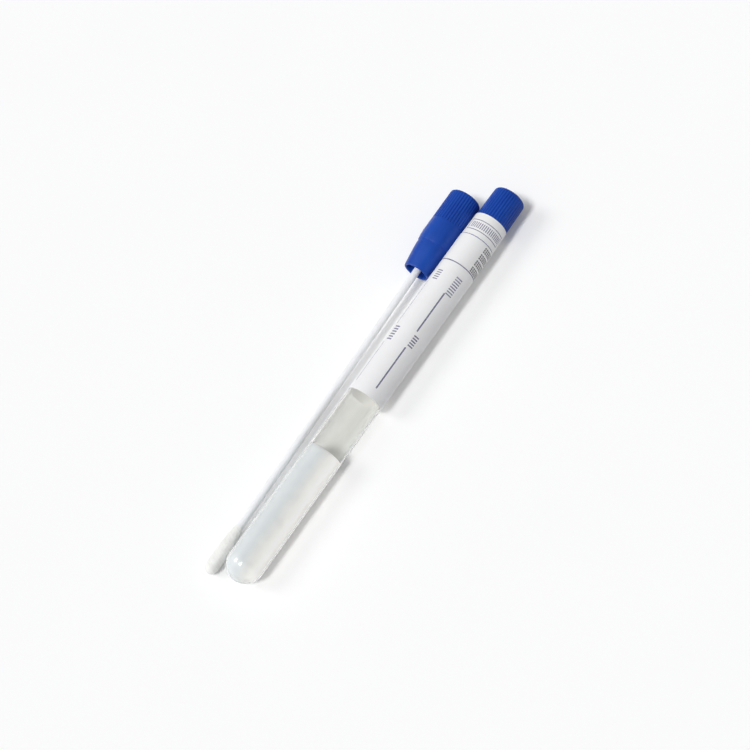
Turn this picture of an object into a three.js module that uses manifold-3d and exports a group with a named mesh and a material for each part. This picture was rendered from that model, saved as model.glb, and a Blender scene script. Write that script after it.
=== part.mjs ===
// Specimen swab tube: a round-bottomed clear tube of transport gel, closed by a push-in stopper that the
// paper label seals on, and the capped swab that takes the stopper's place once a specimen is taken.
// Millimetres, +Z up. The tube lies on its side along Y, stopper to +Y, and the swab lies loose beside it.
import * as THREE from 'three';
import { mergeVertices } from 'three/addons/utils/BufferGeometryUtils.js';
import Module from 'manifold-3d';

// ---- driving sizes ----
const TUBE_DIAMETER = 12.0;
const TUBE_WALL = 0.6;
const TUBE_LENGTH = 132.3; // rim to the tip of the round end
const GEL_DEPTH = 47.1; // inside bottom to the edge of the gel's surface
const MENISCUS = 0.7; // how far the gel's surface dips at its middle
const GEL_CLEARANCE = 0.02;

const LABEL_THICKNESS = 0.1;
const LABEL_LENGTH = 63.2; // tear line to lower edge
const LABEL_CLEARANCE = 0.02;
const BAND_LENGTH = 8.65; // tear line to upper edge, on the stopper
const TEAR_SLIT = 0.25; // length along the tube of the tear line's slits
const TEAR_TIES = 24; // paper ties left between the slits
const TIE_SHARE = 0.4; // share of the pitch that a tie fills
const TIE_CLEARANCE = 0.02;

const GRIP_LENGTH = 11.7; // fluted end of a cap
const BARREL_LENGTH = 8.65; // smooth part between the flutes and the shoulder
const CAP_STEP = 0.1; // how far the shoulder lies inside the tube's outer diameter
const CAP_DRAFT = 0.35; // radius lost from shoulder to end face
const SHOULDER_EASE = 0.35; // radius that the barrel loses as it closes in on the shoulder
const SHOULDER_EASE_LENGTH = 3.5;
const CAP_END_FILLET = 1.0;
const CAP_END_WALL = 2.6;
const CAP_HOLLOW_DRAFT = 0.25; // radius lost from the mouth to the bottom of the hollow
const FLUTES = 36;
const FLUTE_DEPTH = 0.24;
const FLUTE_WIDTH = 0.64;
const PLUG_LENGTH = 10.0;
const PLUG_STRAIGHT = 1.5; // sealing length just below the shoulder
const PLUG_TAPER = 0.9; // radius lost from the sealing length to the mouth
const PLUG_CURVE = 1.25; // 1 is a straight taper, more bellies out
const PLUG_WALL = 0.75; // at the mouth
const PLUG_CLEARANCE = 0.06; // running gap in the tube's bore
const SEAT_CLEARANCE = 0.05; // shoulder to tube rim
const SOCKET_WALL = 0.9; // boss round the shaft, inside the swab's cap
const SOCKET_RECESS = 4.0; // how far the boss stops above the shoulder
const SOCKET_DEPTH = 11.0;

const SWAB_LENGTH = 147.2; // end face of the cap to the tip of the bud
const SHAFT_DIAMETER = 2.4;
const SHAFT_FIT = 0.05;
const SHAFT_END_GAP = 0.3;
const BUD_DIAMETER = 4.6;
const BUD_LENGTH = 17.0;
const BUD_TIP_LENGTH = 2.6; // rounded tip
const BUD_NECK = 0.25; // how much thicker than the shaft the bud's neck is, on the radius
const BUD_COVER = 2.2; // fibre beyond the end of the shaft

const SWAB_SET_BACK = 7.35; // end face of the swab's cap behind the stopper's
const CAP_SIDE_GAP = 0.1; // between the swab's cap and the label
const BUD_SIDE_GAP = 2.75; // between the bud and the tube

const ROUND_SIDES = 36; // as many as the flutes, so that each flute cuts one flat
const SHAFT_SIDES = 24;
const CUTTER_SIDES = 8;
const ARC_STEPS = 4;
const DOME_STEPS = 7;
const CUTTER_STEPS = 2;

// ---- sizes that follow ----
const tubeRadius = TUBE_DIAMETER / 2;
const boreRadius = tubeRadius - TUBE_WALL;
const labelInner = tubeRadius + LABEL_CLEARANCE;
const labelOuter = labelInner + LABEL_THICKNESS;
const shoulderRadius = tubeRadius - CAP_STEP;
const capHeight = GRIP_LENGTH + BARREL_LENGTH; // shoulder to end face
const capEndRadius = shoulderRadius - CAP_DRAFT;
const capRadiusAt = (height) => shoulderRadius - (CAP_DRAFT * height) / capHeight;
const plugRadius = boreRadius - PLUG_CLEARANCE;
const mouthRadius = plugRadius - PLUG_TAPER;
const hollowRadius = mouthRadius - PLUG_WALL;
const hollowTop = capHeight - CAP_END_WALL;
const shaftRadius = SHAFT_DIAMETER / 2;
const socketRadius = shaftRadius + SHAFT_FIT;
const budRadius = BUD_DIAMETER / 2;
const socketTop = SOCKET_RECESS + SOCKET_DEPTH;

// ---- helpers ----
const manifold = await Module();
manifold.setup();

const point = (radius, y) => new THREE.Vector2(radius, y);

// Points of a quarter ellipse about (x, y), from angle `from` to `to`.
function arc(x, y, radiusX, radiusY, from, to, steps) {
  const points = [];
  for (let i = 0; i <= steps; i += 1) {
    const angle = from + ((to - from) * i) / steps;
    points.push(point(x + radiusX * Math.cos(angle), y + radiusY * Math.sin(angle)));
  }
  return points;
}

// A profile starts and ends on the axis, or closes on itself, with the material to the left of its run.
function revolve(profile, sides) {
  const points = profile.map((p) => point(Math.abs(p.x) < 1e-9 ? 0 : p.x, p.y));
  return new THREE.LatheGeometry(points, sides);
}

function toSolid(geometry) {
  const bare = geometry.clone();
  bare.deleteAttribute('normal');
  bare.deleteAttribute('uv');
  const merged = mergeVertices(bare, 1e-4);
  const index = Array.from(merged.index.array);
  const triangles = [];
  for (let i = 0; i < index.length; i += 3) {
    const [a, b, c] = index.slice(i, i + 3);
    if (a !== b && b !== c && c !== a) triangles.push(a, b, c);
  }
  const mesh = new manifold.Mesh({
    numProp: 3,
    vertProperties: new Float32Array(merged.attributes.position.array),
    triVerts: new Uint32Array(triangles),
  });
  return new manifold.Manifold(mesh);
}

function toGeometry(solid) {
  const mesh = solid.getMesh();
  const geometry = new THREE.BufferGeometry();
  geometry.setAttribute('position', new THREE.BufferAttribute(new Float32Array(mesh.vertProperties), 3));
  geometry.setIndex(Array.from(mesh.triVerts));
  geometry.computeVertexNormals();
  return geometry;
}

function piece(name, geometry, options) {
  const mesh = new THREE.Mesh(geometry, new THREE.MeshStandardMaterial(options));
  mesh.name = name;
  return mesh;
}

// ---- tube and gel: the tip of the round end is at y = 0 ----
function tubeGeometry() {
  const profile = [
    ...arc(0, tubeRadius, tubeRadius, tubeRadius, -Math.PI / 2, 0, DOME_STEPS),
    point(tubeRadius, TUBE_LENGTH),
    point(boreRadius, TUBE_LENGTH),
    ...arc(0, tubeRadius, boreRadius, boreRadius, 0, -Math.PI / 2, DOME_STEPS),
  ];
  return revolve(profile, ROUND_SIDES);
}

function gelGeometry() {
  const radius = boreRadius - GEL_CLEARANCE;
  const surface = TUBE_WALL + GEL_DEPTH;
  const profile = [
    ...arc(0, tubeRadius, radius, radius, -Math.PI / 2, 0, DOME_STEPS),
    ...arc(0, surface, radius, MENISCUS, 0, -Math.PI / 2, ARC_STEPS),
  ];
  return revolve(profile, ROUND_SIDES);
}

// ---- label: two rings of paper that meet at the tear line ----
function paperRing(innerStart, innerEnd, start, end) {
  const profile = [
    point(innerStart, start),
    point(innerStart + LABEL_THICKNESS, start),
    point(innerEnd + LABEL_THICKNESS, end),
    point(innerEnd, end),
    point(innerStart, start),
  ];
  return revolve(profile, ROUND_SIDES);
}

function labelGeometry() {
  return paperRing(labelInner, labelInner, TUBE_LENGTH - LABEL_LENGTH, TUBE_LENGTH);
}

// The band's lower edge is cut back by the slits, which leaves the ties standing.
function bandGeometry() {
  const low = TUBE_LENGTH + TIE_CLEARANCE;
  const high = TUBE_LENGTH + SEAT_CLEARANCE + BAND_LENGTH;
  const lowInner = shoulderRadius + LABEL_CLEARANCE;
  const highInner = capRadiusAt(BAND_LENGTH) + LABEL_CLEARANCE;
  const ring = toSolid(paperRing(lowInner, highInner, low, high));
  const pitch = (2 * Math.PI) / TEAR_TIES;
  const slitWidth = pitch * lowInner * (1 - TIE_SHARE);
  const slits = new manifold.Manifold.compose(
    Array.from({ length: TEAR_TIES }, (_, i) => {
      const box = new THREE.BoxGeometry(slitWidth, 2 * TEAR_SLIT, 4 * LABEL_THICKNESS);
      box.translate(0, low, lowInner + LABEL_THICKNESS / 2);
      box.rotateY((i + 0.5) * pitch);
      return toSolid(box);
    }),
  );
  return toGeometry(ring.subtract(slits));
}

// ---- caps: the shoulder is at y = 0, the fluted end face above it and the plug below ----
function capOutline() {
  const lip = PLUG_WALL / 2;
  const taper = PLUG_LENGTH - PLUG_STRAIGHT - lip;
  const taperStep = (i) => i / ARC_STEPS;
  const barrelEnd = Array.from({ length: ARC_STEPS + 1 }, (_, i) => {
    const height = SHOULDER_EASE_LENGTH * (1 - i / ARC_STEPS);
    return point(capRadiusAt(height) - SHOULDER_EASE * (i / ARC_STEPS) ** 2, height);
  });
  const plugSide = Array.from({ length: ARC_STEPS }, (_, i) => point(
    plugRadius - PLUG_TAPER * taperStep(i + 1) ** PLUG_CURVE,
    -PLUG_STRAIGHT - taper * taperStep(i + 1),
  ));
  return [
    point(0, capHeight),
    ...arc(capEndRadius - CAP_END_FILLET, capHeight - CAP_END_FILLET, CAP_END_FILLET, CAP_END_FILLET,
      Math.PI / 2, 0, ARC_STEPS),
    ...barrelEnd,
    point(plugRadius, 0),
    point(plugRadius, -PLUG_STRAIGHT),
    ...plugSide,
    ...arc(mouthRadius - lip, -PLUG_LENGTH + lip, lip, lip, 0, -Math.PI, ARC_STEPS).slice(1),
  ];
}

// The hollow, open at the plug's mouth: plain in the stopper, with a boss for the shaft in the swab's cap.
function hollowOutline(withSocket) {
  const topRadius = hollowRadius - CAP_HOLLOW_DRAFT;
  if (!withSocket) return [point(topRadius, hollowTop), point(0, hollowTop)];
  const bossRadius = socketRadius + SOCKET_WALL;
  return [
    point(topRadius, hollowTop),
    point(bossRadius, hollowTop),
    point(bossRadius, SOCKET_RECESS),
    point(socketRadius, SOCKET_RECESS),
    point(socketRadius, socketTop),
    point(0, socketTop),
  ];
}

// One round-ended cutter for each flute, leaning with the draft of the grip.
function fluteCutters() {
  const radius = (FLUTE_WIDTH ** 2 / 4 + FLUTE_DEPTH ** 2) / (2 * FLUTE_DEPTH);
  const length = GRIP_LENGTH + 1;
  const profile = [
    ...arc(0, radius, radius, radius, -Math.PI / 2, 0, CUTTER_STEPS),
    point(radius, length),
    point(0, length),
  ];
  const lean = Math.atan(CAP_DRAFT / capHeight);
  const reach = capRadiusAt(BARREL_LENGTH) - FLUTE_DEPTH + radius;
  return new manifold.Manifold.compose(
    Array.from({ length: FLUTES }, (_, i) => {
      const cutter = revolve(profile, CUTTER_SIDES);
      cutter.rotateZ(lean);
      cutter.translate(reach, BARREL_LENGTH, 0);
      cutter.rotateY(((i + 0.5) * 2 * Math.PI) / FLUTES);
      return toSolid(cutter);
    }),
  );
}

function capGeometry(withSocket) {
  const profile = [...capOutline(), ...hollowOutline(withSocket)].reverse();
  const body = toSolid(revolve(profile, ROUND_SIDES));
  return toGeometry(body.subtract(fluteCutters()));
}

// ---- swab: measured, like its cap, from the cap's shoulder ----
const budTip = capHeight - SWAB_LENGTH;
const shaftEnd = budTip + BUD_COVER;

function shaftGeometry() {
  const top = socketTop - SHAFT_END_GAP;
  const profile = [
    point(0, shaftEnd),
    point(shaftRadius, shaftEnd),
    point(shaftRadius, top),
    point(0, top),
  ];
  return revolve(profile, SHAFT_SIDES);
}

// Wound fibre: a rounded tip, then a slim swelling that thins onto the shaft.
function budGeometry() {
  const neckRadius = shaftRadius + BUD_NECK;
  const taper = BUD_LENGTH - BUD_TIP_LENGTH;
  const side = Array.from({ length: DOME_STEPS }, (_, i) => {
    const share = (i + 1) / DOME_STEPS;
    const swell = Math.cos((Math.PI / 2) * share ** 2);
    return point(neckRadius + (budRadius - neckRadius) * swell, budTip + BUD_TIP_LENGTH + taper * share);
  });
  const profile = [
    ...arc(0, budTip + BUD_TIP_LENGTH, budRadius, BUD_TIP_LENGTH, -Math.PI / 2, 0, ARC_STEPS),
    ...side,
    point(socketRadius, budTip + BUD_LENGTH),
    point(socketRadius, shaftEnd - SHAFT_END_GAP),
    point(0, shaftEnd - SHAFT_END_GAP),
  ];
  return revolve(profile, SHAFT_SIDES);
}

// ---- assembly ----
const BLUE = { color: 0x1d47a3, roughness: 0.35, metalness: 0 };
const PAPER = { color: 0xf1f1f3, roughness: 0.75, metalness: 0 };

const tubeGroup = new THREE.Group();
const stopper = piece('stopper', capGeometry(false), BLUE);
stopper.position.y = TUBE_LENGTH + SEAT_CLEARANCE;
tubeGroup.add(
  piece('tube', tubeGeometry(), { color: 0xe4eaea, roughness: 0.08, transparent: true, opacity: 0.35 }),
  piece('transport_gel', gelGeometry(), { color: 0xdfe3e1, roughness: 0.4, transparent: true, opacity: 0.8 }),
  piece('label', labelGeometry(), PAPER),
  piece('seal_band', bandGeometry(), PAPER),
  stopper,
);
tubeGroup.position.z = labelOuter;

const swabGroup = new THREE.Group();
swabGroup.add(
  piece('swab_cap', capGeometry(true), BLUE),
  piece('swab_shaft', shaftGeometry(), { color: 0xf4f5f5, roughness: 0.45, metalness: 0 }),
  piece('swab_bud', budGeometry(), { color: 0xf8f8f5, roughness: 0.95, metalness: 0 }),
);

// The swab rests on the widest part of its cap and on the thick of its bud, and leans in beside the tube.
const budMiddle = -(budTip + BUD_TIP_LENGTH);
const widestRadius = capRadiusAt(SHOULDER_EASE_LENGTH);
const pitch = Math.asin((widestRadius - budRadius) / (budMiddle + SHOULDER_EASE_LENGTH));
const capReach = labelOuter + widestRadius + CAP_SIDE_GAP;
const budReach = Math.sqrt((tubeRadius + budRadius + BUD_SIDE_GAP) ** 2 - (labelOuter - budRadius) ** 2);
const yaw = Math.asin((capReach - budReach) / budMiddle);
swabGroup.rotation.order = 'ZXY';
swabGroup.rotation.set(pitch, 0, yaw);
swabGroup.position.x = -capReach;
swabGroup.position.y = TUBE_LENGTH - SWAB_SET_BACK;
swabGroup.updateMatrixWorld(true);
swabGroup.position.z = -new THREE.Box3().setFromObject(swabGroup, true).min.z;

const model = new THREE.Group();
model.add(tubeGroup, swabGroup);
model.updateMatrixWorld(true);
const bounds = new THREE.Box3().setFromObject(model, true);
model.position.set(-(bounds.min.x + bounds.max.x) / 2, -(bounds.min.y + bounds.max.y) / 2, -bounds.min.z);

export default model;
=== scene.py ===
"""Specimen swab tube: the fine meshes, finishes, lamps and camera, with one operator for each piece."""

import math
import random

import bmesh
import bpy
from bpy.props import FloatProperty, FloatVectorProperty, IntProperty, PointerProperty
from mathutils import Matrix, Vector, noise


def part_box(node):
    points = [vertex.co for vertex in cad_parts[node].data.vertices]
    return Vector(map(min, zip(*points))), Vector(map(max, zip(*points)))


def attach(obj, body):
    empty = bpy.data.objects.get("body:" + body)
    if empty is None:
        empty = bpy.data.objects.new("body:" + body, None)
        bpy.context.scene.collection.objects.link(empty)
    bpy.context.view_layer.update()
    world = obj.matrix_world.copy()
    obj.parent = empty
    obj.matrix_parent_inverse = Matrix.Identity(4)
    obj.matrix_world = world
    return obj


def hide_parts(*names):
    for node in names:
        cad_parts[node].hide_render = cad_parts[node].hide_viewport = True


bl_info = {
    "name": "Specimen Swab Tube",
    "version": (1, 0, 0),
    "blender": (4, 5, 0),
    "location": "3D View > Sidebar > Swab Tube",
    "description": "Builds a tube of transport gel with its stopper, paper label and capped swab",
    "category": "Add Mesh",
}

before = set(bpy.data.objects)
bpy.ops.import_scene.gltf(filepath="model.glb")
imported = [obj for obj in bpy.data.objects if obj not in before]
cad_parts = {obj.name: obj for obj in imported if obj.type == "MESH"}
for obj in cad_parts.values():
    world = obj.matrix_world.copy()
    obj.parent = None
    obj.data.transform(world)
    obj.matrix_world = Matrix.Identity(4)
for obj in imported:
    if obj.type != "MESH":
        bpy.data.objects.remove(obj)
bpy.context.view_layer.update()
MM = 0.001
SHAFT_TOP = 14.7 * MM  # end of the shaft in its socket, above the cap's shoulder
SEAT_GAP = 0.05 * MM  # a cap's shoulder over the tube's rim, and the room round the shaft
PAPER_GAP = 0.02 * MM  # the paper over what it is stuck on


# ---- where the pieces lie, read from the frame ----
def middle_of(node):
    low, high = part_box(node)
    return (low + high) / 2


def swab_place():
    """The swab's own frame: its Y runs up the shaft, and its origin is on the cap's shoulder."""
    points = {tuple(round(x, 7) for x in v.co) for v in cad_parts["swab_shaft"].data.vertices}
    middle = middle_of("swab_shaft").y
    upper = [Vector(p) for p in points if p[1] > middle]
    lower = [Vector(p) for p in points if p[1] <= middle]
    top = sum(upper, Vector()) / len(upper)
    end = sum(lower, Vector()) / len(lower)
    along = (top - end).normalized()
    across = along.cross(Vector((0, 0, 1))).normalized()
    upward = across.cross(along)
    origin = top - along * SHAFT_TOP
    turn = Matrix((across, along, upward)).transposed().to_4x4()
    return Matrix.Translation(origin) @ turn, (top - end).length


TUBE_LOW, TUBE_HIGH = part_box("tube")
TUBE_PLACE = Matrix.Translation((middle_of("tube").x, TUBE_LOW.y, middle_of("tube").z))
TUBE_LENGTH = TUBE_HIGH.y - TUBE_LOW.y
TUBE_RADIUS = (TUBE_HIGH.x - TUBE_LOW.x) / 2
SHOULDER = TUBE_LENGTH + SEAT_GAP  # the stopper's shoulder, from the tube's tip
STOPPER_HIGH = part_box("stopper")[1]
LABEL_LOW, LABEL_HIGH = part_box("label")
GEL_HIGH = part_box("transport_gel")[1]
SWAB_PLACE, SHAFT_LENGTH = swab_place()
SHAFT_END = SHAFT_TOP - SHAFT_LENGTH  # the shaft's end in the bud


def srgb(red, green, blue):
    """A colour given as 0 to 255, in Blender's linear values."""
    return tuple(((c / 255 + 0.055) / 1.055) ** 2.4 if c > 10 else c / 3294.6 for c in (red, green, blue))


def length(name, description, default):
    return FloatProperty(
        name=name, description=description, default=default,
        min=0, precision=6, unit="LENGTH", subtype="DISTANCE",
    )


def colour(name, description, default):
    return FloatVectorProperty(
        name=name, description=description, default=default, min=0, max=1, subtype="COLOR",
    )


def view_angle(name, description, degrees):
    return FloatProperty(
        name=name, description=description, default=math.radians(degrees), subtype="ANGLE",
    )


def lamp_level(name, description, default):
    return FloatProperty(name=name, description=description, default=default)


# ---- settings ----
class SWABTUBE_PG_sizes(bpy.types.PropertyGroup):
    """Sizes of the pieces."""

    wall: length("Tube Wall", "Thickness of the tube's wall", 0.6 * MM)
    rim_round: length("Rim Rounding", "Rounding of the tube's rim", 0.15 * MM)
    meniscus: length("Meniscus", "How far the gel's surface dips at its middle", 0.7 * MM)
    wetting: length("Wetting", "How far the gel's skin reaches into the wall that it wets", 0.02 * MM)
    paper: length("Paper", "Thickness of the label's paper", 0.1 * MM)
    lap: length("Lap", "Step where the label's end lies over its start", 0.015 * MM)
    slit: length("Tear Slit", "Length along the tube of the tear line's slits", 0.25 * MM)
    ties: IntProperty(name="Ties", description="Paper ties left between the slits", default=24, min=4)
    cap_height: length("Cap Height", "Shoulder to end face", STOPPER_HIGH.y - TUBE_HIGH.y - SEAT_GAP)
    grip: length("Grip", "Length of the fluted end of a cap", 11.7 * MM)
    cap_radius: length("Cap Radius", "Radius that a cap's side would have at its shoulder", 5.9 * MM)
    draft: length("Draft", "Radius lost from shoulder to end face", 0.35 * MM)
    ease: length("Ease", "Radius that the barrel loses as it closes in on the shoulder", 0.35 * MM)
    ease_length: length("Ease Length", "Part of the barrel that closes in on the shoulder", 3.5 * MM)
    end_round: length("End Rounding", "Rounding of a cap's end face", 1.0 * MM)
    flutes: IntProperty(name="Flutes", description="Grooves round a cap's grip", default=36, min=6)
    flute_depth: length("Flute Depth", "Depth of one groove", 0.24 * MM)
    flute_width: length("Flute Width", "Width of one groove", 0.64 * MM)
    plug_radius: length("Plug Radius", "Radius of a plug's sealing length", 5.34 * MM)
    plug_length: length("Plug Length", "Shoulder to the plug's mouth", 10.0 * MM)
    plug_straight: length("Sealing Length", "Straight part of the plug below the shoulder", 1.5 * MM)
    plug_taper: length("Plug Taper", "Radius lost from the sealing length to the mouth", 0.9 * MM)
    plug_wall: length("Plug Wall", "Thickness of the plug at its mouth", 0.75 * MM)
    end_wall: length("End Wall", "Thickness of a cap's end", 2.6 * MM)
    shaft: length("Shaft Radius", "Radius of the swab's shaft", 1.2 * MM)
    boss: length("Boss Radius", "Radius of the socket that holds the shaft", 2.15 * MM)
    boss_recess: length("Boss Recess", "How far the socket stops above the shoulder", 4.0 * MM)
    bud_radius: length("Bud Radius", "Radius of the bud at its thickest", 2.3 * MM)
    bud_length: length("Bud Length", "Neck to tip of the bud", 17.0 * MM)
    bud_tip: length("Bud Tip", "Length of the bud's rounded tip", 2.6 * MM)
    bud_cover: length("Bud Cover", "Fibre beyond the end of the shaft", 2.2 * MM)
    strands: IntProperty(
        name="Strands", description="Loose fibres that stand out of the bud", default=900, min=0,
    )


class SWABTUBE_PG_colours(bpy.types.PropertyGroup):
    """Colours of the finishes."""

    cap: colour("Cap", "Moulded plastic of the stopper and the swab's cap", srgb(26, 79, 178))
    cap_deep: colour("Cap Shade", "Darker patches of the moulded plastic", srgb(20, 63, 158))
    paper: colour("Paper", "Label and seal band", srgb(246, 246, 248))
    paper_warm: colour("Paper Fibre", "Fibres in the paper", srgb(238, 237, 236))
    ink: colour("Ink", "Printed lines and marks", srgb(68, 62, 114))
    ink_soft: colour("Soft Ink", "Thin lines and small marks", srgb(104, 100, 138))
    dots: colour("Dot Ink", "Rows of dots stamped on the label", srgb(46, 46, 52))
    clear: colour("Clear Plastic", "Tint of the tube's wall", srgb(224, 224, 218))
    # painted reflection: the pale colour mixed into the clear wall where it is seen edge on
    edge_light_tint: colour("Milky Edge", "The clear wall where it is seen edge on", (0.91, 0.915, 0.89))
    # painted light: the gel's colour on its shaded side and on its lit side, blended across the tube by the
    # gel finish
    gel_shaded_side: colour("Gel, Cool Side", "Gel where it thins the light", srgb(230, 235, 238))
    gel_lit_side: colour("Gel, Warm Side", "Gel where the light comes through", srgb(253, 251, 246))
    shaft: colour("Shaft", "Moulded plastic of the swab's shaft", srgb(245, 246, 248))
    fibre: colour("Fibre", "Wound fibre of the bud", srgb(253, 253, 250))
    floor: colour("Floor", "Pale floor", srgb(242, 242, 242))


class SWABTUBE_PG_stage(bpy.types.PropertyGroup):
    """Camera and lamps."""

    target: FloatVectorProperty(
        name="Target", description="Point on the floor that the camera looks at",
        default=(TUBE_PLACE.translation.x - 4.918 * MM, TUBE_LOW.y + 79.776 * MM, 0),
        precision=5, subtype="XYZ", unit="LENGTH",
    )
    azimuth: view_angle("Azimuth", "Camera's angle round the object", 55.842)
    elevation: view_angle("Elevation", "Camera's angle above the floor", 60.336)
    roll: view_angle("Roll", "Camera's turn about its own line of sight", -23.603)
    distance: FloatProperty(name="Distance", description="Camera to target", default=0.55719, unit="LENGTH")
    focal: FloatProperty(
        name="Focal Length", description="Camera's lens on a 36 mm sensor, in millimetres",
        default=84.656, min=10,
    )
    key: lamp_level("Key", "Light that the main lamp gives a surface facing it", 0.58)
    fill: lamp_level("Fill", "Light that the second lamp gives a surface facing it", 0.26)
    sky: lamp_level("Sky", "Even light from all round", 0.26)


# ---- shader maths ----
class Value:
    """A shader socket. Arithmetic on it adds Math nodes."""

    def __init__(self, finish, socket):
        self.finish, self.socket = finish, socket

    def math(self, operation, *operands):
        return self.finish.add("ShaderNodeMath", {"operation": operation}, dict(enumerate(operands)))

    def __add__(self, other):
        return self.math("ADD", self, other)

    def __sub__(self, other):
        return self.math("SUBTRACT", self, other)

    def __rsub__(self, other):
        return self.math("SUBTRACT", other, self)

    def __mul__(self, other):
        return self.math("MULTIPLY", self, other)

    __radd__ = __add__
    __rmul__ = __mul__

    def clamped(self):
        return self.math("MINIMUM", self.math("MAXIMUM", self, 0), 1)

    def wave(self):
        return self.math("SINE", self)


class Finish:
    """A material, or the world, built node by node.

    Patterns are laid out in millimetres on the piece itself.
    """

    def __init__(self, owner):
        owner.use_nodes = True
        self.owner = owner
        self.tree = owner.node_tree
        self.tree.nodes.clear()

    def add(self, kind, settings=None, inputs=None, output=0):
        """Adds a node with its settings, then its sockets' values or links.

        Returns one of its outputs.
        """
        node = self.tree.nodes.new(kind)
        for key, value in (settings or {}).items():
            setattr(node, key, value)
        for key, value in (inputs or {}).items():
            if isinstance(value, Value):
                self.tree.links.new(value.socket, node.inputs[key])
            else:
                node.inputs[key].default_value = value
        return Value(self, node.outputs[output]) if node.outputs else None

    def place(self, stretch=(1, 1, 1)):
        """Coordinates on the piece, in millimetres over stretch."""
        spot = self.add("ShaderNodeTexCoord", output="Object")
        scale = tuple(s / MM for s in stretch)
        return self.add("ShaderNodeVectorMath", {"operation": "MULTIPLY"}, {0: spot, 1: scale})

    def noise(self, scale, detail, stretch=(1, 1, 1)):
        """Noise with about that many waves in a millimetre."""
        inputs = {"Vector": self.place(stretch), "Scale": scale, "Detail": detail}
        return self.add("ShaderNodeTexNoise", {}, inputs, output="Fac")

    def axis(self, name):
        """One coordinate on the piece, in millimetres."""
        return self.add("ShaderNodeSeparateXYZ", {}, {0: self.place()}, output=name)

    def blend(self, first, second, factor):
        inputs = {0: factor, 6: rgba(first), 7: rgba(second)}
        return self.add("ShaderNodeMix", {"data_type": "RGBA"}, inputs, output=2)

    def bump(self, height, depth, strength=1.0):
        """Normal for a height of 0 to 1 that stands for that depth in metres."""
        inputs = {"Height": height, "Distance": depth, "Strength": strength}
        return self.add("ShaderNodeBump", {}, inputs)

    def principled(self, **inputs):
        named = {key.replace("_", " "): value for key, value in inputs.items()}
        return self.add("ShaderNodeBsdfPrincipled", {}, named)

    def mix(self, first, second, factor):
        return self.add("ShaderNodeMixShader", {}, {0: factor, 1: first, 2: second})

    def clear(self, tint):
        """Lets light straight through, tinted."""
        return self.add("ShaderNodeBsdfTransparent", {}, {"Color": rgba(tint)})

    def edge_on(self):
        """Rises from 0, where the surface is seen face on, to 1 where it is seen edge on."""
        return self.add("ShaderNodeLayerWeight", {}, {"Blend": 0.5}, output="Facing")

    def light_path(self, kind):
        return self.add("ShaderNodeLightPath", output=kind)

    def done(self, surface, output="ShaderNodeOutputMaterial"):
        """Ends the tree with the surface, and returns the material or world."""
        self.add(output, {}, {"Surface": surface})
        return self.owner


def finish(name):
    return Finish(bpy.data.materials.new(name))


def rgba(value):
    return value if isinstance(value, Value) else (*value, 1.0)


def darker(tint, share):
    return tuple(c * share for c in tint)


# ---- finishes ----
BLACK = (0, 0, 0)
PAPER_PASSES = (0.5, 0.5, 0.49)  # lamplight that the paper lets through
WALL_PASSES = (0.97, 0.97, 0.965)  # lamplight that the clear wall lets through
PAPER_BACK_PAINTED_LIGHT = 0.20  # painted light: glow on the paper's back, standing in for lamplight that comes through the paper
GEL_PAINTED_CAUSTIC = 0.36  # painted light: glow on the gel's lit side, standing in for light gathered through the gel
FLOOR_GLOW = 0.12  # the floor's own share of its white, only where it is seen
SKY_TINT = (0.97, 0.985, 1.0)
BACKDROP = (0.96, 0.96, 0.96)  # what stands behind the object above the floor


def moulded_plastic(name, base, deep, gloss):
    """Glossy moulded plastic, with faint flow marks and a finely textured skin."""
    f = finish(name)
    flow = f.noise(0.22, 3, stretch=(1, 0.35, 1))
    skin = f.noise(5.0, 3)
    return f.done(f.principled(
        Base_Color=f.blend(deep, base, (flow * 1.6 - 0.25).clamped()),
        Roughness=gloss + skin * 0.10 + flow * 0.06,
        Normal=f.bump(skin * 0.7 + flow * 0.3, 0.012 * MM),
        Specular_IOR_Level=0.3,
        IOR=1.5,
    ))


def paper(name, base, fibre, back_painted_light=0.0):
    """Smooth coated label paper, with fine fibres, thin enough to let some lamplight through.

    back_painted_light is painted light: how brightly its back glows, standing in for the light that comes
    through it.
    """
    f = finish(name)
    fibres = f.noise(3.0, 4, stretch=(1, 0.3, 1))
    cloud = f.noise(0.15, 2)
    sheet = f.principled(
        Base_Color=f.blend(base, fibre, (fibres * 0.7 + cloud * 0.6 - 0.3).clamped()),
        # painted light: the back glows with back_painted_light
        Emission_Color=f.blend(BLACK, fibre, (0.7 + fibres * 0.6).clamped() * back_painted_light),
        Emission_Strength=1.0,
        Roughness=0.42 + fibres * 0.16,
        Normal=f.bump(fibres, 0.006 * MM),
        IOR=1.45,
    )
    return f.done(f.mix(sheet, f.clear(PAPER_PASSES), f.light_path("Is Shadow Ray")))


def ink(name, base, ground):
    """Printing ink that lies a little unevenly on the paper."""
    f = finish(name)
    cover = f.noise(4.0, 3)
    return f.done(f.principled(
        Base_Color=f.blend(base, ground, (cover * 0.9 - 0.3).clamped()),
        Roughness=0.40 + cover * 0.15,
        Normal=f.bump(cover, 0.004 * MM),
        IOR=1.45,
    ))


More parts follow.
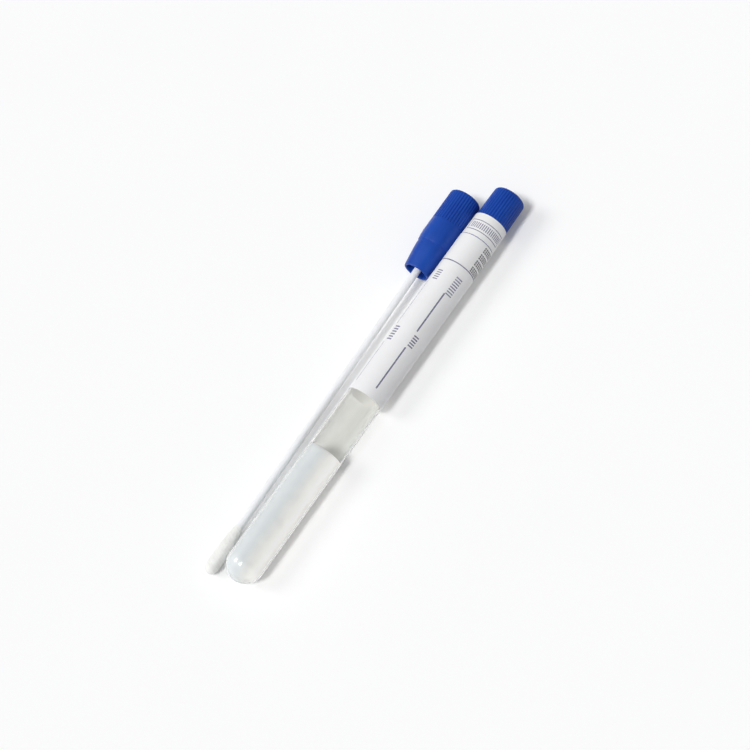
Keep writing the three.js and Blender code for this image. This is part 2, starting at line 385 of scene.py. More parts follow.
def clear_plastic(name, tint, edge_light_tint):
    """Clear wall that bends what shows through it, with painted reflection where it is seen edge on: a pale
    matt share stands in for the light that its edges give back.

    Lamplight passes straight through it.
    """
    f = finish(name)
    flow = f.noise(0.12, 2, stretch=(1, 0.3, 1))
    glass = f.principled(
        Base_Color=f.blend(tint, (1, 1, 1), flow),
        Roughness=0.05,
        IOR=1.5,
        Transmission_Weight=1.0,
        Normal=f.bump(flow, 0.01 * MM),
    )
    # painted reflection: a pale matt share for where the wall is seen edge on
    painted_edge_light = f.principled(Base_Color=rgba(edge_light_tint), Roughness=0.4, IOR=1.5)
    edge = f.edge_on()
    painted_outline = edge * edge * edge * edge
    # painted reflection: it rises towards the wall's outline, a pale painted line there
    wall = f.mix(glass, painted_edge_light, edge * 0.3 + painted_outline * 0.5)
    lit = (f.light_path("Is Shadow Ray") + f.light_path("Is Diffuse Ray")).clamped()
    return f.done(f.mix(wall, f.clear(WALL_PASSES), lit))


def frosted_plastic(name, tint):
    """The same plastic where the mould leaves it matt, so that light shows in it."""
    f = finish(name)
    grain = f.noise(6.0, 3)
    return f.done(f.principled(
        Base_Color=f.blend(tint, darker(tint, 0.85), grain),
        Roughness=0.45 + grain * 0.2,
        Normal=f.bump(grain, 0.01 * MM),
        IOR=1.5,
        Transmission_Weight=0.4,
    ))


def cloudy_gel(name, shaded_side, lit_side):
    """Cloudy jelly, with painted light across it: bluish on its shaded side and warm on its lit side, by
    position across the tube, where a painted glow stands in for light gathered through the gel.
    """
    f = finish(name)
    cloud = f.noise(0.25, 3)
    across = f.axis("X") - TUBE_PLACE.translation.x / MM
    # painted light and shade: side runs from 0 on the tube's shaded side to 1 on its lit side
    side = (across * 0.24 - 0.14 + (cloud - 0.5) * 0.3).clamped()
    painted_caustic = darker(lit_side, GEL_PAINTED_CAUSTIC)
    return f.done(f.principled(
        Base_Color=f.blend(shaded_side, lit_side, side),
        # painted light: the lit side glows
        Emission_Color=f.blend(BLACK, painted_caustic, side * side),
        Emission_Strength=1.0,
        Roughness=0.22 + cloud * 0.15,
        Normal=f.bump(cloud, 0.05 * MM),
        IOR=1.36,
        Subsurface_Weight=1.0,
        Subsurface_Scale=2.5 * MM,
        Subsurface_Radius=(1.0, 1.0, 1.0),
    ))


def drawn_plastic(name, base):
    """White shaft plastic, with faint marks drawn along its length."""
    f = finish(name)
    lines = f.noise(4.0, 3, stretch=(1, 0.06, 1))
    cloud = f.noise(0.3, 2)
    return f.done(f.principled(
        Base_Color=f.blend(base, darker(base, 0.93), (cloud * 0.8 + lines * 0.4 - 0.3).clamped()),
        Roughness=0.36 + lines * 0.16,
        Normal=f.bump(lines, 0.008 * MM),
        IOR=1.5,
        Specular_IOR_Level=0.3,
        Subsurface_Weight=0.15,
        Subsurface_Scale=0.8 * MM,
        Subsurface_Radius=(1.0, 1.0, 1.0),
    ))


def wound_fibre(name, base):
    """Soft fibre wound in slanting turns."""
    f = finish(name)
    lie = f.noise(5.0, 4, stretch=(1, 0.35, 1))
    turns = (f.axis("Y") * 7.0 + f.axis("X") * 3.0 + lie * 9.0).wave() * 0.5 + 0.5
    return f.done(f.principled(
        Base_Color=f.blend(darker(base, 0.86), base, (turns * 0.2 + lie * 1.2).clamped()),
        Roughness=0.86 + lie * 0.1,
        Normal=f.bump(turns * 0.2 + lie, 0.09 * MM, 0.9),
        IOR=1.4,
        Sheen_Weight=0.25,
        Sheen_Roughness=0.5,
    ))


def pale_floor(name, base):
    """Matt floor that keeps shadows and shows near white where it is open."""
    f = finish(name)
    seen = (
        f.light_path("Is Camera Ray") + f.light_path("Is Glossy Ray") + f.light_path("Is Transmission Ray")
    )
    grain = f.noise(0.02, 2)
    return f.done(f.principled(
        Base_Color=f.blend(base, darker(base, 0.985), grain),
        Roughness=0.9,
        Specular_IOR_Level=0.1,
        Emission_Color=f.blend(BLACK, (FLOOR_GLOW,) * 3, seen.clamped()),
        Emission_Strength=1.0,
    ))


# ---- mesh helpers ----
def arc(middle, radius, start, end, steps):
    """Points of an arc about middle = (radius, y), angles in degrees."""
    turns = [math.radians(start + (end - start) * i / steps) for i in range(steps + 1)]
    return [(middle[0] + radius * math.cos(t), middle[1] + radius * math.sin(t)) for t in turns]


def rounded(corners):
    """A profile through corners of (radius, y) or (radius, y, rounding)."""
    steps = 5
    points = []
    for i, corner in enumerate(corners):
        here = Vector(corner[:2])
        reach = corner[2] if len(corner) > 2 else 0
        if not reach:
            points.append(tuple(here))
            continue
        before = (Vector(corners[i - 1][:2]) - here).normalized()
        after = (Vector(corners[(i + 1) % len(corners)][:2]) - here).normalized()
        half = before.angle(after) / 2
        back = reach / math.tan(half)
        centre = here + (before + after).normalized() * reach / math.sin(half)
        first, last = here + before * back - centre, here + after * back - centre
        turn = first.angle_signed(last)
        for k in range(steps + 1):
            points.append(tuple(centre + Matrix.Rotation(-turn * k / steps, 2) @ first))
    return points


def turned(name, profile, angles, shape=None):
    """A closed mesh turned round Y, from a profile that starts and ends on the axis.

    Angles run from +Z towards +X.
    """
    made = bmesh.new()
    rows = []
    for radius, y in profile:
        if radius < 1e-7:
            rows.append([made.verts.new((0, y, 0))] * len(angles))
            continue
        row = []
        for angle in angles:
            r = shape(radius, y, angle) if shape else radius
            row.append(made.verts.new((r * math.sin(angle), y, r * math.cos(angle))))
        rows.append(row)
    for low, high in zip(rows, rows[1:]):
        for i in range(len(angles)):
            j = (i + 1) % len(angles)
            corners = list(dict.fromkeys((low[i], low[j], high[j], high[i])))
            if len(corners) > 2:
                made.faces.new(corners)
    return close_mesh(name, made)


def close_mesh(name, made):
    bmesh.ops.recalc_face_normals(made, faces=made.faces)
    mesh = bpy.data.meshes.new(name)
    made.to_mesh(mesh)
    made.free()
    return mesh


def put(context, mesh, place, body, node, materials, crease=32):
    """Links the mesh as a piece that stands for a CAD node, smooth up to the crease angle."""
    mesh.transform(place)
    for polygon in mesh.polygons:
        polygon.use_smooth = True
    mesh.set_sharp_from_angle(angle=math.radians(crease))
    for material in materials:
        mesh.materials.append(material)
    piece = bpy.data.objects.new(mesh.name, mesh)
    context.scene.collection.objects.link(piece)
    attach(piece, body)
    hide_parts(node)
    return piece


def even(count):
    return [2 * math.pi * i / count for i in range(count)]


# ---- tube and gel, from the tip of the round end ----
SIDES = 144  # flat faces round the tube and the gel


def tube_mesh(sizes):
    bore = TUBE_RADIUS - sizes.wall
    rim = sizes.rim_round
    top = TUBE_LENGTH - rim
    levels = [TUBE_RADIUS + 0.1 * MM, TUBE_LENGTH * 0.5, top - 0.1 * MM, top - 0.02 * MM]
    profile = [
        *arc((0, TUBE_RADIUS), TUBE_RADIUS, -90, 0, 24),
        *((TUBE_RADIUS, y) for y in levels),
        *arc((TUBE_RADIUS - rim, top), rim, 0, 90, 6),
        *arc((bore + rim, top), rim, 90, 180, 6),
        *((bore, y) for y in reversed(levels)),
        *arc((0, TUBE_RADIUS), bore, 0, -90, 24),
    ]
    mesh = turned("clear_tube", profile, even(SIDES))
    for polygon in mesh.polygons:
        polygon.material_index = int(polygon.center.y > top)  # the rim is frosted
    return mesh


def gel_mesh(sizes):
    radius = TUBE_RADIUS - sizes.wall + sizes.wetting
    edge = GEL_HIGH.y - TUBE_LOW.y
    surface = [
        (radius * math.cos(t), edge - sizes.meniscus * math.sin(t) ** 0.7)
        for t in (math.pi / 2 * i / 16 for i in range(17))
    ]
    profile = [*arc((0, TUBE_RADIUS), radius, -90, 0, 20), (radius, edge * 0.6), *surface]
    return turned("transport_gel_fill", profile, even(SIDES))


# ---- paper ----
MM_PER_DEGREE = 0.107  # round the paper's outside


def paper_wrap(name, ys, angles, radius_at, thickness, held, inked):
    """A ring of paper on a grid of ys and angles. held and inked are asked at each cell's middle."""
    made = bmesh.new()
    count = len(angles)

    def sheet(lift):
        rows = []
        for y in ys:
            reach = [radius_at(y, a) + lift for a in angles]
            spots = [(r * math.sin(a), y, r * math.cos(a)) for r, a in zip(reach, angles)]
            rows.append([made.verts.new(spot) for spot in spots])
        return rows

    inner, outer = sheet(0), sheet(thickness)
    middle_y = [(y + after) / 2 for y, after in zip(ys, ys[1:])]
    middle_angle = [(a + after) / 2 for a, after in zip(angles, [*angles[1:], angles[0] + 2 * math.pi])]
    cells = {
        (i, j): inked(y, angle)
        for i, y in enumerate(middle_y) for j, angle in enumerate(middle_angle) if held(y, angle)
    }
    for (i, j), mark in cells.items():
        k = (j + 1) % count
        face = made.faces.new((outer[i][j], outer[i][k], outer[i + 1][k], outer[i + 1][j]))
        face.material_index = mark
        back = made.faces.new((inner[i][j], inner[i + 1][j], inner[i + 1][k], inner[i][k]))
        back.material_index = BACK
        edges = {
            (i - 1, j): (i, j, i, k), (i + 1, j): (i + 1, k, i + 1, j),
            (i, (j - 1) % count): (i + 1, j, i, j), (i, k): (i, k, i + 1, k),
        }
        for beside, (a, b, c, d) in edges.items():
            if beside not in cells:
                made.faces.new((inner[a][b], inner[c][d], outer[c][d], outer[a][b]))
    for vertex in [v for v in made.verts if not v.link_faces]:
        made.verts.remove(vertex)
    return close_mesh(name, made)


def box_mark(y0, y1, a0, a1, index):
    """A printed rectangle: y in millimetres from the tube's tip, angles in degrees."""
    return (y0 * MM, y1 * MM, math.radians(a0), math.radians(a1), index)


def bars(y0, y1, a0, a1, count, index, share):
    """Plain bars in a row along the tube, in the place of a word.

    share is how much of its place each bar fills.
    """
    step = (y1 - y0) / count
    return [box_mark(y0 + step * i, y0 + step * (i + share), a0, a1, index) for i in range(count)]


def frame_marks(y0, y1, a0, a1, width, index):
    """The four sides of a printed box, with lines of that width in millimetres."""
    turn = width / MM_PER_DEGREE
    return [
        box_mark(y0, y0 + width, a0, a1, index), box_mark(y1 - width, y1, a0, a1, index),
        box_mark(y0, y1, a0, a0 + turn, index), box_mark(y0, y1, a1 - turn, a1, index),
    ]


def stamped(y0, y1, a0, a1, blocks, index):
    """Blocks of stamped dots in one row along the tube, each three dots long and six high."""
    columns, rows = 3, 6
    pitch, rise = (y1 - y0) / blocks, (a1 - a0) / rows
    step, dot_length, dot_height = 0.27, 0.21, 0.72
    return [
        box_mark(y0 + pitch * (block + step * column), y0 + pitch * (block + step * column + dot_length),
                 a0 + rise * row, a0 + rise * (row + dot_height), index)
        for block in range(blocks) for column in range(columns) for row in range(rows)
    ]


INK, SOFT, DOTS, BACK = 1, 2, 3, 4  # material slots on the paper, whose bare face is 0
LABEL_MARKS = [
    box_mark(121.30, 121.66, -180, 180, INK),
    *bars(110.8, 118.2, 34, 57, 8, SOFT, 0.45),
    box_mark(95.2, 110.7, 30.6, 35.2, INK),
    *bars(89.7, 94.3, 33.5, 51.5, 5, INK, 0.5),
    box_mark(72.6, 88.85, 30.6, 35.2, INK),
    *bars(113.4, 117.6, -32, -13, 5, SOFT, 0.45),
    box_mark(94.9, 112.5, -45.6, -43.4, SOFT),
    *bars(88.6, 94.5, -40, -20, 6, SOFT, 0.5),
    box_mark(72.1, 87.7, -44.1, -41.9, SOFT),
    *stamped(121.9, 132.2, 55, 103, 4, DOTS),
]
BAND_MARKS = [
    box_mark(132.2, 132.6, -180, 180, SOFT),
    *frame_marks(134.4, 138.4, -43, 90, 0.24, INK),
    *[box_mark(135.3, 137.5, a, a + 3.2, SOFT) for a in range(-32, 84, 7)],
]


def spaced(values, least):
    """The values in order, without any that lies too close after the one before it."""
    kept = []
    for value in sorted(values):
        if not kept or value - kept[-1] > least:
            kept.append(value)
    return kept


def lines_for(marks, low, high, extra_ys=(), extra_angles=()):
    """Grid lines that every mark's edges fall on."""
    step = 2.5  # degrees between lines where nothing is printed
    near = math.radians(0.15)
    ys = {low, high, *extra_ys} | {y for m in marks for y in m[:2] if low < y < high}
    turns = {math.radians(i * step - 180) for i in range(int(360 / step))}
    marked = {a for m in marks for a in m[2:4] if -math.pi < a < math.pi} | set(extra_angles)
    angles = [*marked, *(t for t in turns if all(abs(t - a) > near for a in marked))]
    return spaced(ys, 0.002 * MM), spaced(angles, near / 3)


def mark_at(marks):
    def found(y, angle):
        angle = (angle + math.pi) % (2 * math.pi) - math.pi
        for y0, y1, a0, a1, index in marks:
            if y0 < y < y1 and a0 < angle < a1:
                return index
        return 0
    return found


def label_mesh(sizes):
    low, high = LABEL_LOW.y - TUBE_LOW.y, LABEL_HIGH.y - TUBE_LOW.y
    inner = (LABEL_HIGH.x - LABEL_LOW.x) / 2 - sizes.paper
    lap, rise, step = math.radians(-150), math.radians(16), math.radians(0.4)
    ys, angles = lines_for(LABEL_MARKS, low, high, extra_angles=[lap, lap + step])

    def lapped(_, angle):
        """The paper's end lies over its start: a step, and a slow rise beside it."""
        past = (angle - lap) % (2 * math.pi)
        return inner - sizes.lap * max(0.0, 1 - past / rise) if past > 1e-6 else inner

    return paper_wrap(
        "paper_label", ys, angles, lapped, sizes.paper, lambda y, angle: True, mark_at(LABEL_MARKS),
    )


def band_mesh(sizes):
    low_box, high_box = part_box("seal_band")
    low, high = low_box.y - TUBE_LOW.y, high_box.y - TUBE_LOW.y
    inner = sizes.cap_radius + PAPER_GAP
    pitch = 2 * math.pi / sizes.ties
    tie = pitch * 0.4
    sides = [pitch * i + side * tie / 2 - math.pi for i in range(sizes.ties) for side in (-1, 1)]
    sides = [a + 2 * math.pi if a < -math.pi else a for a in sides]
    ys, angles = lines_for(BAND_MARKS, low, high, extra_ys=[low + sizes.slit], extra_angles=sides)

    def radius_at(y, _):
        return inner - sizes.draft * max(0.0, y - SHOULDER) / sizes.cap_height

    def held(y, angle):
        offset = (angle + math.pi + pitch / 2) % pitch - pitch / 2
        return y > low + sizes.slit or abs(offset) < tie / 2

    return paper_wrap("paper_band", ys, angles, radius_at, sizes.paper, held, mark_at(BAND_MARKS))


# ---- caps, from the shoulder ----
def groove_radius(sizes):
    """Radius of the round groove that is as wide and as deep as a flute."""
    return (sizes.flute_width**2 / 4 + sizes.flute_depth**2) / (2 * sizes.flute_depth)


def cap_profile(sizes, socket):
    """Half section of a cap from the middle of its end face round to the middle of its hollow."""
    top = sizes.cap_height
    end = sizes.cap_radius - sizes.draft
    lip = sizes.plug_wall / 2
    mouth = sizes.plug_radius - sizes.plug_taper
    taper = sizes.plug_length - sizes.plug_straight - lip
    hollow = mouth - sizes.plug_wall
    inside = hollow - 0.25 * MM
    ceiling = top - sizes.end_wall
    run = top - sizes.grip
    groove = groove_radius(sizes)

    def side(y):
        closing = max(0.0, 1 - y / sizes.ease_length) ** 2
        return (sizes.cap_radius - sizes.draft * y / top - sizes.ease * closing, y)

    face = [(0, top), (end * 0.35, top), (end * 0.7, top)]
    fillet = arc((end - sizes.end_round, top - sizes.end_round), sizes.end_round, 90, 0, 8)
    straight = sizes.grip - sizes.end_round - groove
    fluted = [side(top - sizes.end_round - s * straight) for s in (0.03, 0.5, 0.97)]
    run_out = [side(run + groove * s) for s in (1.0, 0.8, 0.6, 0.45, 0.3, 0.18, 0.09, 0.03, -0.1)]
    barrel = [side(run * 0.6), *(side(sizes.ease_length * (1 - i / 8)) for i in range(8))]
    edge = sizes.cap_radius - sizes.ease
    shoulder = rounded([barrel[-1], (edge, 0, 0.09 * MM), (sizes.plug_radius, 0, 0.08 * MM),
                        (sizes.plug_radius, -sizes.plug_straight * 0.5)])
    plug = [(sizes.plug_radius - sizes.plug_taper * s**1.25, -sizes.plug_straight - taper * s)
            for s in (i / 14 for i in range(15))]
    rim = arc((mouth - lip, -sizes.plug_length + lip), lip, 0, -180, 12)[1:]
    core = [(hollow, -sizes.plug_length + 2 * lip)]
    if socket:
        bore, floor = sizes.shaft + SEAT_GAP, SHAFT_TOP + 0.3 * MM
        core += [
            (inside, ceiling, 0.5 * MM), (sizes.boss, ceiling, 0.3 * MM),
            (sizes.boss, sizes.boss_recess, 0.2 * MM), (bore, sizes.boss_recess, 0.15 * MM),
            (bore, floor, 0.1 * MM), (0, floor),
        ]
    else:
        core += [(inside, ceiling, 0.6 * MM), (0, ceiling)]
    return [*face, *fillet, *fluted, *run_out, *barrel, *shoulder, *plug, *rim, *rounded(core)]


def flute_shape(sizes):
    """Draws a cap's grip in where a groove runs, down to the groove's round end."""
    top = sizes.cap_height
    run = top - sizes.grip
    groove = groove_radius(sizes)
    pitch = 2 * math.pi / sizes.flutes
    soft = 0.035 * MM  # rounding of the groove's lips

    def shape(radius, y, angle):
        if y < run or radius < sizes.cap_radius - sizes.draft - sizes.end_round * 1.01:
            return radius
        plain = sizes.cap_radius - sizes.draft * y / top
        reach = plain - sizes.flute_depth + groove
        off = (angle % pitch) - pitch / 2
        low = max(0.0, run + groove - y)
        left = groove**2 - low**2 - (reach * math.sin(off)) ** 2
        if left <= 0:
            return radius
        cut = reach * math.cos(off) - math.sqrt(left)
        gap = radius - cut
        if gap <= -4 * soft:
            return radius
        return radius - 0.5 * (gap + math.sqrt(gap * gap + soft * soft))

    return shape


def cap_mesh(name, sizes, socket):
    pitch = 360 / sizes.flutes
    half = [0.12, 0.22, 0.28, 0.32, 0.35, 0.39, 0.44]
    across = [-0.5, *(-s for s in reversed(half)), 0, *half]
    angles = [math.radians(pitch * (i + 0.5 + s)) for i in range(sizes.flutes) for s in across]
    return turned(name, cap_profile(sizes, socket), angles, flute_shape(sizes))


# ---- swab ----
STRAND_SUNK = 0.05 * MM  # how deep a strand's ends lie in the bud
FLOOR_ROOM = 0.01 * MM  # least height of a strand above the floor


def shaft_mesh(sizes):
    low, high = SHAFT_END, SHAFT_TOP
    profile = rounded([(0, low), (sizes.shaft, low, 0.2 * MM), (sizes.shaft, high, 0.2 * MM), (0, high)])
    lengths = [(sizes.shaft, low + (high - low) * i / 12) for i in range(1, 12)]
    split = len(profile) // 2
    return turned("shaft_rod", [*profile[:split], *lengths, *profile[split:]], even(48))


def bud_radius_at(sizes, above):
    """Radius of the bud at a distance above its tip."""
    neck = sizes.shaft + 0.25 * MM
    if above < sizes.bud_tip:
        return sizes.bud_radius * math.sqrt(max(0.0, 1 - (1 - above / sizes.bud_tip) ** 2))
    share = min(1.0, (above - sizes.bud_tip) / (sizes.bud_length - sizes.bud_tip))
    return neck + (sizes.bud_radius - neck) * math.cos(math.pi / 2 * share**2)


def bud_mesh(sizes):
    """The wound bud, with slanting turns pressed into it and loose strands lying on it."""
    tip = SHAFT_END - sizes.bud_cover
    hollow = sizes.shaft + SEAT_GAP
    inner = SHAFT_END - 0.3 * MM

    def wound(radius, y, angle):
        if radius <= hollow * 1.01:
            return radius
        above = y - tip
        turn = math.sin(above / MM * 5.2 + angle * 3)
        lump = noise.noise(Vector((math.sin(angle) * 1.4, above / MM * 0.5, math.cos(angle) * 1.4)))
        fine = noise.noise(Vector((math.sin(angle) * 6, above / MM * 2.2, math.cos(angle) * 6)))
        pressed = 0.07 - 0.012 * turn - 0.04 * lump - 0.04 * fine
        return radius - pressed * MM * min(1, radius / MM)

    steps = 90
    side = []
    for i in range(1, steps + 1):
        share = i / steps
        above = sizes.bud_length * (share**1.5 if share < 0.2 else share)
        side.append((bud_radius_at(sizes, above), tip + above))
    profile = [(0, tip), *side, (hollow, tip + sizes.bud_length), (hollow, inner), (0, inner)]
    mesh = turned("fibre_bud", profile, even(96), wound)
    made = bmesh.new()
    made.from_mesh(mesh)
    rng = random.Random(7)
    for _ in range(sizes.strands):
        strand(made, sizes, tip, rng)
    mesh.clear_geometry()
    made.to_mesh(mesh)
    made.free()
    return mesh


def strand(made, sizes, tip, rng):
    """One loose fibre: a thin three-sided tube that lies along the turns and lifts off a little.

    One that would come down to the floor is left out.
    """
    above = sizes.bud_length * rng.uniform(0.03, 0.93)
    angle = rng.uniform(0, 2 * math.pi)
    reach = rng.uniform(0.9, 2.4) * MM
    slant = rng.uniform(-0.35, 0.9)
    lift = rng.uniform(0.0, 0.16) * MM
    thin = rng.uniform(0.012, 0.022) * MM
    rows = []
    count = 6
    for i in range(count + 1):
        share = i / count
        up = min(max(above + reach * share * slant, STRAND_SUNK), sizes.bud_length)
        radius = bud_radius_at(sizes, up) - STRAND_SUNK + lift * math.sin(math.pi * share) ** 2
        turn = angle + reach * share / max(radius, 0.8 * MM)
        middle = Vector((radius * math.sin(turn), tip + up, radius * math.cos(turn)))
        outward = Vector((math.sin(turn), 0, math.cos(turn)))
        width = thin * (1 - 0.7 * abs(2 * share - 1) ** 3)
        sides = (outward, Vector((0, 1, 0)), -outward - Vector((0, 1, 0)))
        rows.append([made.verts.new(middle + s.normalized() * width) for s in sides])
    lowest = min((SWAB_PLACE @ v.co).z for row in rows for v in row)
    if lowest < FLOOR_ROOM:
        for row in rows:
            for vertex in row:
                made.verts.remove(vertex)
        return
    for low, high in zip(rows, rows[1:]):
        for i in range(3):
            j = (i + 1) % 3
            made.faces.new((low[i], high[i], high[j], low[j]))
    made.faces.new(rows[0])
    made.faces.new(reversed(rows[-1]))


# ---- operators ----
class MakesPiece:
    bl_options = {"REGISTER", "UNDO"}

    def execute(self, context):
        scene = context.scene
        self.make(context, scene.swab_tube_sizes, scene.swab_tube_colours)
        return {"FINISHED"}


class SWABTUBE_OT_tube(MakesPiece, bpy.types.Operator):
    """Builds the clear round-bottomed tube"""

    bl_idname = "swab_tube.tube"
    bl_label = "Clear Tube"

    def make(self, context, sizes, colours):
        wall = clear_plastic("clear_plastic", colours.clear, colours.edge_light_tint)
        finishes = [wall, frosted_plastic("frosted_rim", colours.clear)]
        put(context, tube_mesh(sizes), TUBE_PLACE, "tube_set", "tube", finishes)


class SWABTUBE_OT_gel(MakesPiece, bpy.types.Operator):
    """Fills the round end with cloudy transport gel"""

    bl_idname = "swab_tube.gel"
    bl_label = "Transport Gel"

    def make(self, context, sizes, colours):
        skin = cloudy_gel("cloudy_gel", colours.gel_shaded_side, colours.gel_lit_side)
        put(context, gel_mesh(sizes), TUBE_PLACE, "tube_set", "transport_gel", [skin])


def paper_finishes(colours, name):
    return [
        paper(name, colours.paper, colours.paper_warm),
        ink(name + "_ink", colours.ink, colours.paper),
        ink(name + "_soft_ink", colours.ink_soft, colours.paper),
        ink(name + "_dot_ink", colours.dots, colours.paper),
        # painted light: the back of the paper glows
        paper(name + "_back", colours.paper, colours.paper_warm, PAPER_BACK_PAINTED_LIGHT),
    ]


class SWABTUBE_OT_label(MakesPiece, bpy.types.Operator):
    """Wraps the printed paper label round the tube"""

    bl_idname = "swab_tube.label"
    bl_label = "Paper Label"

    def make(self, context, sizes, colours):
        finishes = paper_finishes(colours, "label")
        put(context, label_mesh(sizes), TUBE_PLACE, "tube_set", "label", finishes)


class SWABTUBE_OT_band(MakesPiece, bpy.types.Operator):
    """Wraps the seal band round the stopper, with the ties of its tear line"""

    bl_idname = "swab_tube.band"
    bl_label = "Seal Band"

    def make(self, context, sizes, colours):
        finishes = paper_finishes(colours, "band")
        put(context, band_mesh(sizes), TUBE_PLACE, "stopper_unit", "seal_band", finishes)


class SWABTUBE_OT_stopper(MakesPiece, bpy.types.Operator):
    """Moulds the fluted push-in stopper"""

    bl_idname = "swab_tube.stopper"
    bl_label = "Stopper"

    def make(self, context, sizes, colours):
        skin = moulded_plastic("stopper_plastic", colours.cap, colours.cap_deep, 0.26)
        place = TUBE_PLACE @ Matrix.Translation((0, SHOULDER, 0))
        put(context, cap_mesh("fluted_stopper", sizes, False), place, "stopper_unit", "stopper",
            [skin])


class SWABTUBE_OT_swab_cap(MakesPiece, bpy.types.Operator):
    """Moulds the swab's fluted cap, with the socket that holds the shaft"""

    bl_idname = "swab_tube.swab_cap"
    bl_label = "Swab Cap"

    def make(self, context, sizes, colours):
        skin = moulded_plastic("cap_plastic", colours.cap, colours.cap_deep, 0.30)
        put(context, cap_mesh("fluted_swab_cap", sizes, True), SWAB_PLACE, "tube_set", "swab_cap",
            [skin])


class SWABTUBE_OT_shaft(MakesPiece, bpy.types.Operator):
    """Draws the swab's plastic shaft"""

    bl_idname = "swab_tube.shaft"
    bl_label = "Swab Shaft"

    def make(self, context, sizes, colours):
        skin = drawn_plastic("shaft_plastic", colours.shaft)
        put(context, shaft_mesh(sizes), SWAB_PLACE, "tube_set", "swab_shaft", [skin])


class SWABTUBE_OT_bud(MakesPiece, bpy.types.Operator):
    """Winds the fibre bud on the end of the shaft"""

    bl_idname = "swab_tube.bud"
    bl_label = "Fibre Bud"

    def make(self, context, sizes, colours):
        skin = wound_fibre("wound_fibre", colours.fibre)
        put(context, bud_mesh(sizes), SWAB_PLACE, "tube_set", "swab_bud", [skin], crease=60)


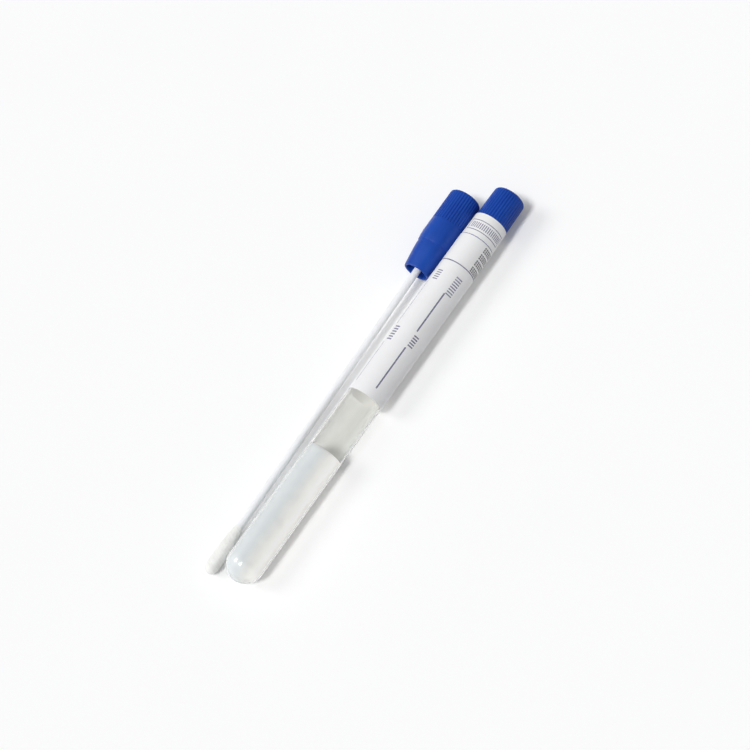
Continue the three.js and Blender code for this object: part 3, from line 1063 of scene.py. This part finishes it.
class SWABTUBE_OT_stage(bpy.types.Operator):
    """Sets the floor, the lamps and the camera"""

    bl_idname = "swab_tube.stage"
    bl_label = "Floor, Lamps and Camera"
    bl_options = {"REGISTER", "UNDO"}

    def execute(self, context):
        scene = context.scene
        stage = scene.swab_tube_stage
        self.floor(scene, scene.swab_tube_colours)
        self.sun(scene, "key_lamp", stage.key, towards=(-0.08, -0.43, 0.90), spread=14)
        self.sun(scene, "fill_lamp", stage.fill, towards=(-0.66, -0.25, 0.70), spread=24)
        self.sky(scene, stage.sky)
        self.camera(scene, stage)
        scene.view_settings.view_transform = "Standard"
        return {"FINISHED"}

    def floor(self, scene, colours):
        half = 3.0
        mesh = bpy.data.meshes.new("floor")
        corners = [(-half, -half, 0), (half, -half, 0), (half, half, 0), (-half, half, 0)]
        mesh.from_pydata(corners, [], [(0, 1, 2, 3)])
        mesh.materials.append(pale_floor("pale_floor", colours.floor))
        floor = bpy.data.objects.new("floor", mesh)
        scene.collection.objects.link(floor)

    def sun(self, scene, name, level, towards, spread):
        """A distant lamp, spread over so many degrees, that lights a surface facing it to that level."""
        lamp = bpy.data.lights.new(name, "SUN")
        lamp.energy = level * math.pi
        lamp.angle = math.radians(spread)
        holder = bpy.data.objects.new(name, lamp)
        holder.rotation_euler = Vector(towards).to_track_quat("Z", "Y").to_euler()
        scene.collection.objects.link(holder)

    def sky(self, scene, level):
        """Even light, which shows white behind the object."""
        f = Finish(bpy.data.worlds.new("even_sky"))
        seen = (f.light_path("Is Camera Ray") + f.light_path("Is Transmission Ray")).clamped()
        sky = f.add("ShaderNodeBackground", {}, {"Color": rgba(SKY_TINT), "Strength": level})
        white = f.add("ShaderNodeBackground", {}, {"Color": rgba(BACKDROP), "Strength": 1.0})
        scene.world = f.done(f.mix(sky, white, seen), "ShaderNodeOutputWorld")

    def camera(self, scene, stage):
        a, e, r = stage.azimuth, stage.elevation, stage.roll
        look = Vector((-math.sin(a) * math.cos(e), math.cos(a) * math.cos(e), -math.sin(e)))
        level = look.cross(Vector((0, 0, 1))).normalized()
        above = level.cross(look)
        right = level * math.cos(r) + above * math.sin(r)
        up = above * math.cos(r) - level * math.sin(r)
        turn = Matrix((right, up, -look)).transposed().to_4x4()
        data = bpy.data.cameras.new("camera")
        data.lens = stage.focal
        data.sensor_width = 36
        data.clip_start, data.clip_end = 0.01, 20
        camera = bpy.data.objects.new("camera", data)
        camera.matrix_world = Matrix.Translation(Vector(stage.target) - look * stage.distance) @ turn
        scene.collection.objects.link(camera)
        scene.camera = camera


PIECES = (
    SWABTUBE_OT_tube, SWABTUBE_OT_gel, SWABTUBE_OT_label, SWABTUBE_OT_band, SWABTUBE_OT_stopper,
    SWABTUBE_OT_swab_cap, SWABTUBE_OT_shaft, SWABTUBE_OT_bud, SWABTUBE_OT_stage,
)


class SWABTUBE_PT_panel(bpy.types.Panel):
    """Lists the pieces and their settings"""

    bl_idname = "SWABTUBE_PT_panel"
    bl_label = "Specimen Swab Tube"
    bl_space_type = "VIEW_3D"
    bl_region_type = "UI"
    bl_category = "Swab Tube"

    def draw(self, context):
        for piece in PIECES:
            self.layout.operator(piece.bl_idname)
        scene = context.scene
        for group in (scene.swab_tube_sizes, scene.swab_tube_colours, scene.swab_tube_stage):
            box = self.layout.box()
            for name in group.bl_rna.properties.keys():
                if name not in {"rna_type", "name"}:
                    box.prop(group, name)


CLASSES = (SWABTUBE_PG_sizes, SWABTUBE_PG_colours, SWABTUBE_PG_stage, *PIECES, SWABTUBE_PT_panel)


def register():
    for item in CLASSES:
        bpy.utils.register_class(item)
    bpy.types.Scene.swab_tube_sizes = PointerProperty(type=SWABTUBE_PG_sizes)
    bpy.types.Scene.swab_tube_colours = PointerProperty(type=SWABTUBE_PG_colours)
    bpy.types.Scene.swab_tube_stage = PointerProperty(type=SWABTUBE_PG_stage)


def unregister():
    del bpy.types.Scene.swab_tube_stage
    del bpy.types.Scene.swab_tube_colours
    del bpy.types.Scene.swab_tube_sizes
    for item in reversed(CLASSES):
        bpy.utils.unregister_class(item)


def main():
    register()
    bpy.ops.swab_tube.tube()
    bpy.ops.swab_tube.gel()
    bpy.ops.swab_tube.label()
    bpy.ops.swab_tube.band()
    bpy.ops.swab_tube.stopper()
    bpy.ops.swab_tube.swab_cap()
    bpy.ops.swab_tube.shaft()
    bpy.ops.swab_tube.bud()
    bpy.ops.swab_tube.stage()


if __name__ == "__main__":
    main()
